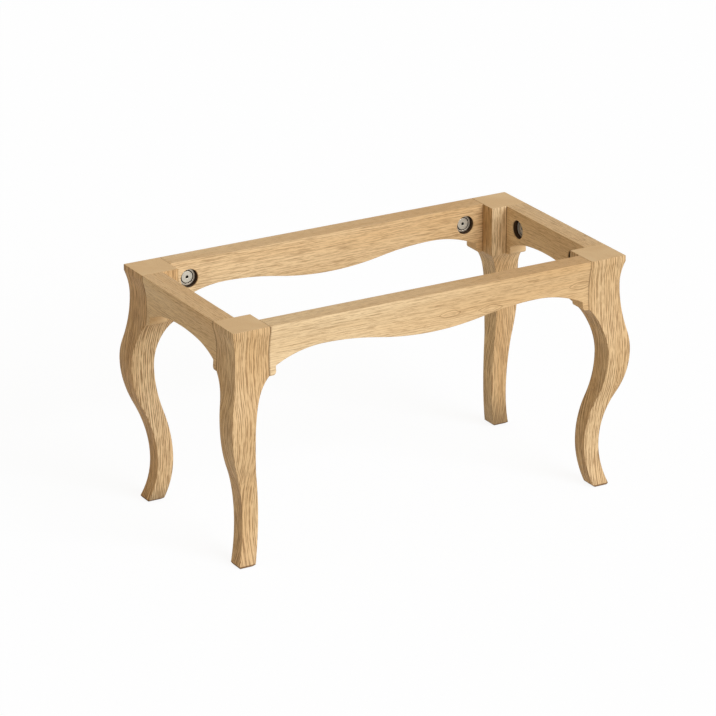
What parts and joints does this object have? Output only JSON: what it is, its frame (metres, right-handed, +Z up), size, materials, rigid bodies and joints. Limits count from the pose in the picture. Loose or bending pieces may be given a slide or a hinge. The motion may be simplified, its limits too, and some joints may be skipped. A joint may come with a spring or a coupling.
{
  "type": "bench frame",
  "caption": "Oak bench frame with S-curved legs, shaped rails under an open top, and recessed cam connectors at the joints.",
  "frame": {"origin": "on the floor, under the middle of the frame", "axes": "+X along the long side, +Z up, front at -Y"},
  "size_m": [0.8168, 0.4268, 0.448],
  "materials": {
    "leg_oak": "matt oiled oak, grain along the leg",
    "rail_oak": "matt oiled oak, grain along the rail",
    "housing_zinc": "dark zinc",
    "cam_nickel": "satin nickel",
    "steel": "zinc plated",
    "beech": "plain beech"
  },
  "bodies": {
    "root": {"front_left_leg": "leg_oak", "front_right_leg": "leg_oak", "back_left_leg": "leg_oak", "back_right_leg": "leg_oak", "front_rail": "rail_oak", "back_rail": "rail_oak", "left_rail": "rail_oak", "right_rail": "rail_oak", "front_rail_housings": "housing_zinc", "back_rail_housings": "housing_zinc", "left_rail_housings": "housing_zinc", "right_rail_housings": "housing_zinc", "front_rail_cams": "cam_nickel", "back_rail_cams": "cam_nickel", "left_rail_cams": "cam_nickel", "right_rail_cams": "cam_nickel", "front_rail_bolts": "steel", "back_rail_bolts": "steel", "left_rail_bolts": "steel", "right_rail_bolts": "steel", "front_rail_tenons": "beech", "back_rail_tenons": "beech", "left_rail_tenons": "beech", "right_rail_tenons": "beech"}
  },
  "joints": []
}
